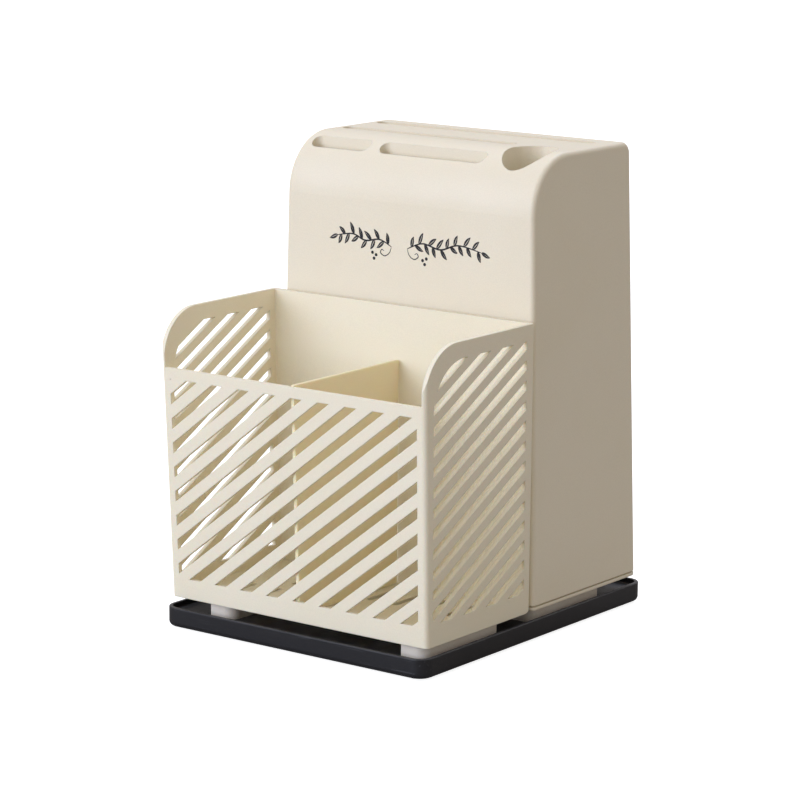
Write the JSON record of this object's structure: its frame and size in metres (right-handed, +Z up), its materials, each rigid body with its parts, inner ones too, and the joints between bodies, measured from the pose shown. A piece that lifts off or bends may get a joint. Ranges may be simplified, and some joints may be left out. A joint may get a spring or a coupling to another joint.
{
  "type": "lazy susan organizer",
  "caption": "Desk or worktop organizer: slotted two-cell basket and closed tower with blade and scissors slots, on feet in a drip tray that turns on a ball-bearing base.",
  "frame": {"origin": "on the table under the middle of the drip tray, on the swivel axis", "axes": "+Z up, -Y towards the front of the basket, +X to the right seen from the front"},
  "size_m": [0.164, 0.1953, 0.2427],
  "materials": {
    "basket_plastic": "satin moulded cream plastic",
    "tower_plastic": "satin moulded cream plastic",
    "divider_plastic": "satin moulded cream plastic",
    "foot_plastic": "moulded cream plastic",
    "guide_plastic": "moulded cream plastic, unpolished",
    "tray_plastic": "fine-textured black plastic",
    "disc_plastic": "plain black plastic",
    "cage_plastic": "natural acetal",
    "pad_rubber": "soft black rubber",
    "race_steel": "zinc-plated steel",
    "ball_steel": "polished bearing steel",
    "screw_steel": "zinc-plated steel"
  },
  "bodies": {
    "turntable_base": {"base_disc": "disc_plastic", "rubber_pads": "pad_rubber", "lower_race": "race_steel", "pivot_rivet": "race_steel", "rivet_washer": "cage_plastic"},
    "ball_ring": {"ball_cage": "cage_plastic", "bearing_balls": "ball_steel"},
    "tray": {"drip_tray": "tray_plastic", "upper_race": "race_steel", "race_screws": "screw_steel"},
    "basket_unit": {"basket": "basket_plastic", "basket_feet": "foot_plastic", "basket_foot_screws": "screw_steel"},
    "divider_plate": {"divider": "divider_plastic"},
    "tower_foot_unit": {"tower_base": "tower_plastic", "tower_feet": "foot_plastic", "tower_foot_screws": "screw_steel", "blade_guide": "guide_plastic"},
    "tower_housing": {"tower_shell": "tower_plastic"}
  },
  "joints": [
    {"name": "turntable_swivel", "type": "hinge", "parent": "turntable_base", "child": "tray", "pos_m": [0, 0, 0], "axis": [0, 0, 1], "continuous": true},
    {"name": "cage_orbit", "type": "hinge", "parent": "turntable_base", "child": "ball_ring", "pos_m": [0, 0, 0], "axis": [0, 0, 1], "continuous": true},
    {"name": "basket_lift", "type": "slide", "parent": "tray", "child": "basket_unit", "axis": [0, 0, 1], "range_m": [0, 0.06]},
    {"name": "divider_lift", "type": "slide", "parent": "basket_unit", "child": "divider_plate", "axis": [0, 0, 1], "range_m": [0, 0.15]},
    {"name": "tower_lift", "type": "slide", "parent": "tray", "child": "tower_foot_unit", "axis": [0, 0, 1], "range_m": [0, 0.06]},
    {"name": "shell_lift", "type": "slide", "parent": "tower_foot_unit", "child": "tower_housing", "axis": [0, 0, 1], "range_m": [0, 0.09]}
  ],
  "couplings": [
    {"joint": "cage_orbit", "follows": "turntable_swivel", "ratio": 0.5}
  ]
}
